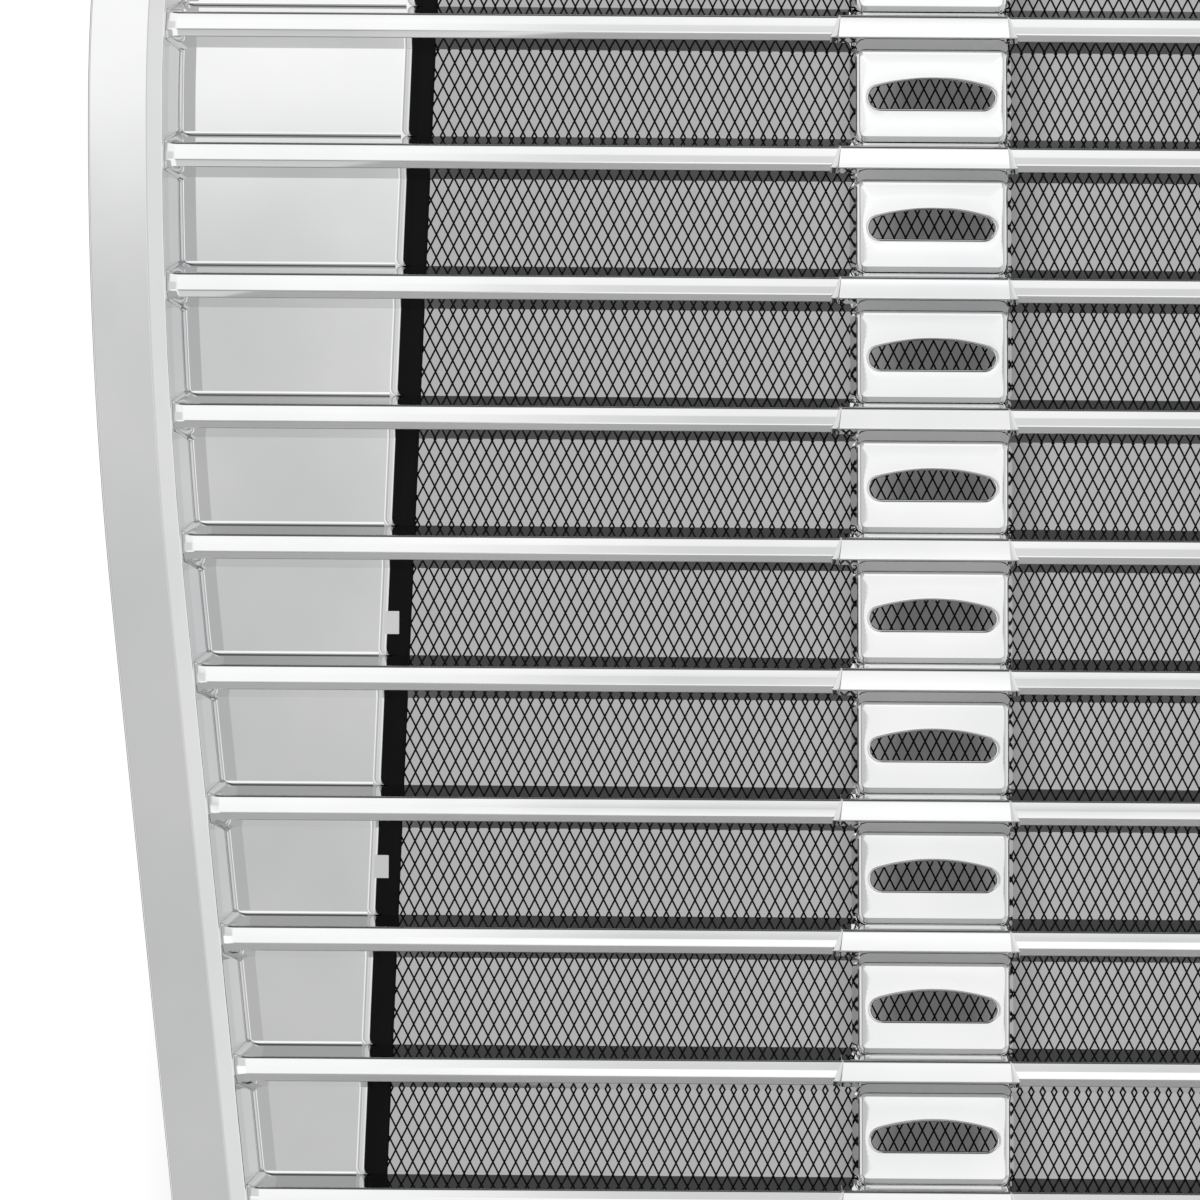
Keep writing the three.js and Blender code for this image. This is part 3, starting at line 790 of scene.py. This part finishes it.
def edge_strip_tab(skin, place):
    """A small L-shaped tab on a side panel, for the screen's edge strip."""
    z = OPEN_TOP - place * PITCH
    x = -panel_edge_x(z) + TAB_INSET
    tip = x + TAB_THICK / 2
    root_front, arm_front, arm_back, arm_long = -26, -25.2, -23.2, 8
    low, high, radius = z - TAB_HALF, z + TAB_HALF, 0.3
    rounded_block(skin, x - TAB_THICK / 2, tip, root_front, TAB_TIP, low, high, radius)
    rounded_block(skin, x - arm_long, tip, arm_front, arm_back, low, high, radius)


def panel_fillet(skin, row):
    """The concave fillet where a panel meets the bar below it and the surround, and beside it
    the wide shallow cove that runs along the surround."""
    z1 = bar_z(row - 1) - BAR_HALF + 0.1 if row > 1 else OPEN_TOP
    z0 = bar_z(row) + BAR_HALF - 0.1 if row < ROWS else OPEN_BOTTOM
    width = PANEL_FILLET * math.sin(FILLET_TURN)
    arc = [FILLET_TURN * (1 - k / 6) for k in range(7)]
    curve = []
    for t in arc:
        curve.append((width - PANEL_FILLET * math.sin(t), PANEL_FRONT - PANEL_FILLET * (1 - math.cos(t))))
    under = PANEL_FRONT + 0.2
    section = [(-0.1, under), (-0.1, curve[0][1])] + curve + [(curve[-1][0], under)]

    def path(inset):
        low = z0 + inset
        return rounded(
            [
                (-panel_edge_x(low) - PANEL_ROLL + 0.3, low, 0),
                (-wall_x(low, RAIL - 0.1) + inset, low, 3.2 - inset),
                (-wall_x(z1, RAIL - 0.1) + inset, z1, 0),
            ],
            closed=False,
            steps=6,
        )

    rings = [[(x, y, z) for x, z in path(inset)] for inset, y in section]
    across = [[ring[i] for ring in rings] for i in range(len(rings[0]))]
    skin.rings(across)
    cove = []
    for z in np.linspace(z0 + width, z1, 9):
        wall = -wall_x(z, RAIL - 0.1) + width - 0.1
        profile = [(0, 0.2), (0, -COVE_RISE), (COVE_WIDE, -0.02), (COVE_WIDE, 0.2)]
        cove.append([(wall + x, PANEL_FRONT + y, z) for x, y in profile])
    skin.rings(cove)


def ejector_mark(skin, row):
    """A round witness of the mould's ejector pin on the back of a panel."""
    z = (bar_z(row - 1) + bar_z(row)) / 2
    x = -panel_edge_x(z) - 14
    around = [math.tau * k / 40 for k in range(40)]
    levels = [(7.4, PANEL_BACK - 0.3), (7.4, PANEL_BACK + 0.1), (7.1, PANEL_BACK + 0.25)]
    levels += [(6.6, PANEL_BACK + 0.25), (6.4, PANEL_BACK + 0.12)]
    skin.rings([[(x + r * math.cos(t), y, z + r * math.sin(t)) for t in around] for r, y in levels])


# ---------------------------------------------------------------- screen and its edge strips
HOLE_WIDE = 6.0  # of one diamond, from strand to strand
HOLE_TALL = 12.0
STRAND = 0.92
SHEET = 0.9  # thickness of the metal
STRAND_TILT = 0.28  # how far a knuckle's edges stand out of the sheet


def screen_part(name, from_x, to_x):
    """Expanded metal: diamonds that share their strands, in one sheet between two edges."""
    half_wide, half_tall = HOLE_WIDE / 2, HOLE_TALL / 2
    slope = math.atan2(half_wide, half_tall)
    hole_wide = half_wide - STRAND / 2 / math.cos(slope)
    hole_tall = half_tall - STRAND / 2 / math.sin(slope)
    places, points, faces = {}, [], []
    middle_y = (SCREEN_FRONT + SCREEN_BACK) / 2

    def knot(i, j):
        if (i, j) not in places:
            places[i, j] = len(points)
            points.append((i * half_wide, middle_y, SCREEN_TOP + j * half_tall))
        return places[i, j]

    rows = int((SCREEN_TOP - SCREEN_BOTTOM) / half_tall)
    columns = int(HALF_WIDTH / half_wide)
    for j in range(-rows + 1, 0):
        z = SCREEN_TOP + j * half_tall
        reach = panel_edge_x(z) + STRIP_OVERLAP - 4
        for i in range(-columns, columns + 1):
            x = i * half_wide
            if (i + j) % 2 == 0 or abs(x) > reach or not from_x <= x < to_x:
                continue
            corners = [knot(i - 1, j), knot(i, j - 1), knot(i + 1, j), knot(i, j + 1)]
            first = len(points)
            points.append((x - hole_wide, middle_y, z))
            points.append((x, middle_y + STRAND_TILT, z - hole_tall))
            points.append((x + hole_wide, middle_y, z))
            points.append((x, middle_y - STRAND_TILT, z + hole_tall))
            for k in range(4):
                m = (k + 1) % 4
                faces.append((corners[k], corners[m], first + m, first + k))
    skin = Skin()
    skin.points, skin.faces = points, faces
    piece = make_piece(name, skin, ["bug_screen"], SCREEN_BLACK, smooth=False)
    thick = piece.modifiers.new("Sheet", "SOLIDIFY")
    thick.thickness = SHEET * MM
    thick.offset = 0


def strip_section(turned_edge, width):
    """The fold of an edge strip: from its open edge round the bend and back, as (u, y)."""
    bend = (STRIP_BACK - STRIP_FRONT) / 2
    thick = 0.8
    outer = rounded(
        [
            (0, STRIP_FRONT, 0),
            (turned_edge, STRIP_FRONT, 0.4),
            (turned_edge + 0.5, STRIP_FRONT + 0.28, 0.4),
            (turned_edge + 1.6, STRIP_FRONT + 0.28, 0.4),
            (turned_edge + 2.1, STRIP_FRONT, 0.4),
            (width, STRIP_FRONT, bend * 0.98),
            (width, STRIP_BACK, bend * 0.98),
            (0, STRIP_BACK, 0),
        ],
        closed=False,
        steps=5,
    )
    inside = bend - thick
    inner = rounded(
        [
            (0, STRIP_BACK - thick, 0),
            (width - thick, STRIP_BACK - thick, inside * 0.98),
            (width - thick, STRIP_FRONT + thick, inside * 0.98),
            (0, STRIP_FRONT + thick, 0),
        ],
        closed=False,
        steps=5,
    )
    return np.vstack([outer, inner])


def edge_strips():
    section = strip_section(STRIP_OVERLAP + 1.8, STRIP_WIDTH)
    rings = []
    for z in (SCREEN_BOTTOM, SCREEN_TOP):
        rings.append([(-panel_edge_x(z) - STRIP_OVERLAP + u, y, z) for u, y in section])
    skin = Skin()
    skin.rings(rings)
    for side, shape in (("left", skin), ("right", skin.mirrored())):
        node = "screen_strip_" + side
        make_piece(node + "_black", shape, [node], STRIP_BLACK)
    section = strip_section(turned_edge=3, width=12)
    for side, edge, inwards in (("top", SCREEN_TOP, -1), ("bottom", SCREEN_BOTTOM, 1)):
        rings = []
        for sign in (-1, 1):
            ring = []
            for u, y in section:
                z = edge + inwards * u
                ring.append((sign * (panel_edge_x(z) - STRIP_WIDTH + STRIP_OVERLAP - 0.6), y, z))
            rings.append(ring)
        skin = Skin()
        skin.rings(rings)
        node = "screen_strip_" + side
        make_piece(node + "_black", skin, [node], STRIP_BLACK)


# ---------------------------------------------------------------- hardware
def stud(node):
    low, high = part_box(node)
    x, z = (low[X] + high[X]) / 2 / MM, (low[Z] + high[Z]) / 2 / MM
    back, tip = low[Y] / MM, high[Y] / MM
    radius, pitch, depth = 3.0, 1.0, 0.55  # of the thread
    around, steps = 24, 6
    rings = []
    for k in range(int((tip - back - 1) / pitch * steps)):
        y = back + k * pitch / steps
        ring = []
        for i in range(around):
            turn = i / around
            phase = abs(((y / pitch + turn) % 1) - 0.5) * 2
            r = radius - depth * (1 - phase) if k > 0 else radius - depth
            ring.append((x + r * math.cos(math.tau * turn), y, z + r * math.sin(math.tau * turn)))
        rings.append(ring)
    last = [math.tau * i / around for i in range(around)]
    for r, y in ((2.4, tip - 0.8), (2.2, tip - 0.1), (1.9, tip)):
        rings.append([(x + r * math.cos(t), y, z + r * math.sin(t)) for t in last])
    skin = Skin()
    skin.rings(rings)
    make_piece(node + "_thread", skin, [node], STUD_ZINC)


CLIP_THICK = 0.7
CLIP_SLIT = 1.6  # half width of the slit in a clip's upper end


def spring_clip(node):
    """A humped strip with a slit upper end, three hooked fingers, two legs and a tongue."""
    low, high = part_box(node)
    x, z = (low[X] + high[X]) / 2 / MM, (low[Z] + high[Z]) / 2 / MM
    front = low[Y] / MM
    half = (high[X] - low[X]) / 2 / MM
    skin = Skin()

    def bent(profile, x0, x1):
        """A strip of spring steel bent along (y, z) points."""
        line = np.array(profile, float)
        step = np.gradient(line, axis=0)
        step /= np.linalg.norm(step, axis=1)[:, None]
        side = np.column_stack([step[:, 1], -step[:, 0]])
        if side[0][0] < 0:
            side = -side
        rings = []
        for (y, h), (dy, dh) in zip(line, side * CLIP_THICK):
            near, far = (front + y, z + h), (front + y + dy, z + h + dh)
            rings.append([(x + x0, *near), (x + x1, *near), (x + x1, *far), (x + x0, *far)])
        skin.rings(rings)

    hump = [(0.1, 0), (0.3, 1), (1.4, 2.2), (3.0, 3.4), (3.9, 4.2)]
    hump += [(3.4, 5.2), (1.8, 6.2), (0.4, 7), (0.1, 8)]
    bent(hump, -half, half)
    bent([(0.1, 7.9), (0.1, 9.4)], -half, half)
    bent([(0.1, 9.4), (0.12, 11)], -half, -CLIP_SLIT)
    bent([(0.1, 9.4), (0.12, 11)], CLIP_SLIT, half)
    bent([(0.1, -3.4), (0.1, 0.2)], -half, half)
    for centre in (-half + 1.3, 0, half - 1.3):
        bent([(0.1, -3.2), (0.8, -3.8), (2.4, -4.0), (3.2, -3.4)], centre - 1.2, centre + 1.2)
    bent([(0.1, -8.9), (0.1, -3.3)], -half + 1.5, -2.1)
    bent([(0.1, -8.9), (0.1, -3.3)], 2.1, half - 1.5)
    bent([(0.3, -8.2), (0.9, -6), (0.5, -3.3)], -1.3, 1.3)
    piece = make_piece(node + "_steel", skin, [node], SPRING_STEEL)
    soft = piece.modifiers.new("Soft", "BEVEL")
    soft.width = 0.12 * MM
    soft.segments = 2
    soft.limit_method = "ANGLE"


# ---------------------------------------------------------------- floor, light and camera
def floor():
    """A pale round floor just under the part."""
    mesh = bpy.data.meshes.new("floor")
    reach, sides = 0.74, 96
    z = CAD_LOW.z - 0.002
    around = [math.tau * k / sides for k in range(sides)]
    rim = [(reach * math.cos(t), reach * math.sin(t), z) for t in around]
    mesh.from_pydata(rim, [], [tuple(range(sides))])
    plane = bpy.data.objects.new("floor", mesh)
    bpy.context.scene.collection.objects.link(plane)
    material, nodes, links, shader = new_material("floor_paint")
    patches = noise_at(nodes, links, 2, 3)
    tone = toned(nodes, links, patches, (0, (0.88, 0.88, 0.88)), (1, (0.94, 0.94, 0.94)))
    links.new(tone, shader.inputs["Base Color"])
    shader.inputs["Roughness"].default_value = 0.6
    mesh.materials.append(material)


def studio():
    """A sky painted in zones of direction, because chrome shows little but what it reflects.
    The zones are made for the scene camera's view. From other directions their edges can show
    behind the part."""
    world = bpy.data.worlds.new("studio")
    bpy.context.scene.world = world
    world.use_nodes = True
    nodes, links = world.node_tree.nodes, world.node_tree.links
    place = nodes.new("ShaderNodeTexCoord")
    axes = nodes.new("ShaderNodeSeparateXYZ")
    links.new(place.outputs["Generated"], axes.inputs["Vector"])

    def ramp(value, stops):
        """Grey levels along a direction's coordinate, each stop (coordinate, level)."""
        to_share = nodes.new("ShaderNodeMath")
        to_share.operation = "MULTIPLY_ADD"
        to_share.inputs[1].default_value = 0.5
        to_share.inputs[2].default_value = 0.5
        links.new(value, to_share.inputs[0])
        node = nodes.new("ShaderNodeValToRGB")
        node.color_ramp.interpolation = "EASE"
        stops = [(0.5 + 0.5 * place, (level,) * 3 + (1,)) for place, level in stops]
        elements = node.color_ramp.elements
        elements[0].position, elements[0].color = stops[0]
        elements[1].position, elements[1].color = stops[-1]
        for position, colour in stops[1:-1]:
            elements.new(position).color = colour
        links.new(to_share.outputs["Value"], node.inputs["Fac"])
        return node.outputs["Color"]

    def mixed(share, first, second):
        node = nodes.new("ShaderNodeMix")
        node.data_type = "FLOAT"
        for socket, value in (("Factor", share), ("A", first), ("B", second)):
            links.new(value, node.inputs[socket])
        return node.outputs["Result"]

    x, y, z = (axes.outputs[name] for name in "XYZ")
    # in front of the grille, from low to high, on its left and on its right
    left = ramp(
        z,
        [(-1, 0.6), (-0.93, 0.6), (-0.8, 0.8), (-0.72, 0.3), (-0.5, 0.3), (-0.38, 0.66), (-0.03, 0.62),
         (0.032, 0.7), (0.056, 1.1), (0.3, 1.15), (0.325, 1.1), (0.36, 0.45), (0.52, 0.45), (0.62, 0.1),
         (1, 0.08)],
    )
    right = ramp(
        z,
        [(-1, 0.6), (-0.93, 0.7), (-0.82, 1.1), (-0.15, 1.15), (-0.02, 1.0), (0.03, 1.08), (0.05, 1.2),
         (0.085, 0.98), (0.108, 1.0), (0.118, 1.3), (0.135, 1.25), (0.155, 0.78), (0.21, 0.78), (0.26, 1.05),
         (0.33, 1.1), (0.37, 0.6), (0.52, 0.5), (0.62, 0.1), (1, 0.08)],
    )
    near = mixed(ramp(x, [(-0.022, 0.0), (0.005, 1.0)]), left, right)
    # far out to either side, which the surround's walls reflect
    flank = ramp(
        x,
        [(-1, 0.9), (-0.62, 0.85), (-0.5, 0.25), (-0.4, 0.25), (-0.28, 0.8), (0.12, 0.52), (0.3, 0.52),
         (0.38, 0.78), (0.55, 0.7), (0.8, 0.8), (1, 1.0)],
    )
    wide = ramp(x, [(-0.4, 1.0), (-0.2, 0.0), (0.11, 0.0), (0.17, 1.0)])
    ahead = mixed(wide, near, flank)
    # behind the grille: white on the left, grey behind the screen, a dark strip behind the column
    level = ramp(
        x,
        [(-0.5, 0.22), (-0.16, 0.3), (-0.09, 1.05), (-0.052, 1.05), (-0.022, 0.44), (0.0272, 0.44),
         (0.0286, 0.13), (0.0402, 0.13), (0.0418, 0.44), (0.3, 0.44), (0.6, 0.3)],
    )
    # and dark zones above and below, which the tops and the undersides of the bars reflect
    above = ramp(x, [(-0.3, 1.0), (-0.1, 0.06), (0.6, 0.06), (0.9, 1.0)])
    below = ramp(x, [(-0.05, 0.7), (-0.015, 0.08), (0.6, 0.08), (0.9, 1.0)])
    beyond = mixed(ramp(z, [(0.2, 0.0), (0.32, 1.0)]), level, above)
    in_low_zone = ramp(z, [(-0.7, 0.0), (-0.5, 1.0), (-0.19, 1.0), (-0.13, 0.0)])
    beyond = mixed(in_low_zone, beyond, below)
    whole = mixed(ramp(y, [(-0.1, 0.0), (0.25, 1.0)]), ahead, beyond)
    background = nodes["Background"]
    links.new(whole, background.inputs["Color"])
    background.inputs["Strength"].default_value = 1.0


def camera():
    """A long lens, square to the left part of the front and slightly rolled."""
    view_width = 0.624  # across the front of the grille
    distance = 5.0
    middle_x, middle_z = -0.3239, -0.3816
    roll = math.radians(0.4)
    data = bpy.data.cameras.new("camera")
    data.sensor_width = 36
    data.lens = data.sensor_width * distance / view_width
    seen = bpy.data.objects.new("camera", data)
    seen.location = (middle_x, FRONT * MM - distance, middle_z)
    seen.rotation_euler = (math.pi / 2, -roll, 0)
    bpy.context.scene.collection.objects.link(seen)
    bpy.context.scene.camera = seen


# ---------------------------------------------------------------- assembly
surround()
for number in BARS:
    bar(number)
column_covers()
side_panels()
third = panel_edge_x(SCREEN_BOTTOM) / 3
screen_part("bug_screen_left", -HALF_WIDTH, -third)
screen_part("bug_screen_middle", -third, third)
screen_part("bug_screen_right", third, HALF_WIDTH)
edge_strips()
for node in sorted(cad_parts):
    if node.startswith("mounting_stud"):
        stud(node)
    if node.startswith("spring_clip"):
        spring_clip(node)

floor()
studio()
camera()
bpy.context.scene.view_settings.view_transform = "Standard"
